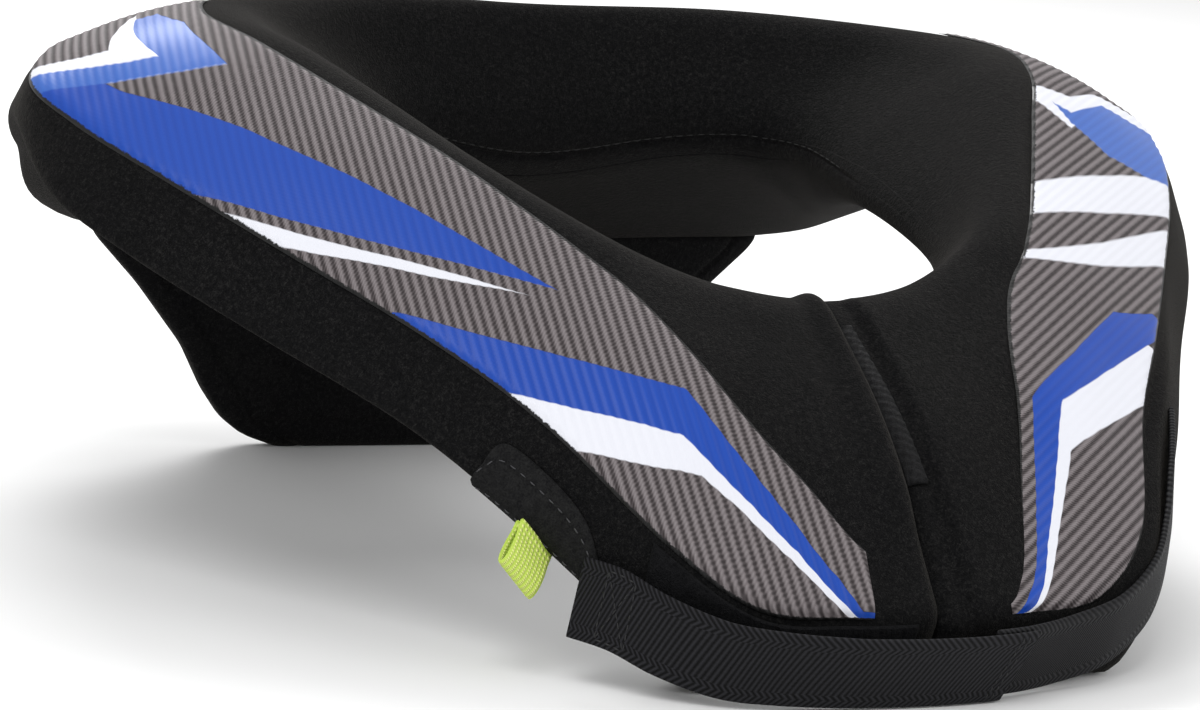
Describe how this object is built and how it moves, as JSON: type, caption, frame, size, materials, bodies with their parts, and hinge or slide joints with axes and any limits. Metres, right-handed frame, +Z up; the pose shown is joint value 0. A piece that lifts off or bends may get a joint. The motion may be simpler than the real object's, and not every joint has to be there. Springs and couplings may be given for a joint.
{
  "type": "motocross neck brace",
  "caption": "Soft motocross neck brace: a fleece-covered foam collar that closes at the front with a webbing strap, with ribbed printed shoulder panels and a padded tongue behind.",
  "frame": {"origin": "on the ground, under the middle of the part", "axes": "+Z up off the surface that it stands on, -Y to the split at the wearer's front, +X to the wearer's left"},
  "size_m": [0.3388, 0.2896, 0.1352],
  "materials": {
    "fleece": "matte",
    "ribbed_fabric": "satin",
    "webbing": "matte",
    "hook_tape": "matte",
    "suede": "matte",
    "lime_webbing": "matte"
  },
  "bodies": {
    "root": {"collar": "fleece", "back_flap": "fleece", "print_panel_left": "ribbed_fabric", "print_panel_right": "ribbed_fabric", "closure_strap": "webbing", "strap_elastic": "webbing", "strap_hook_tape": "hook_tape", "strap_patch": "suede", "pull_loop": "lime_webbing", "split_hook_tape": "hook_tape"}
  },
  "joints": []
}
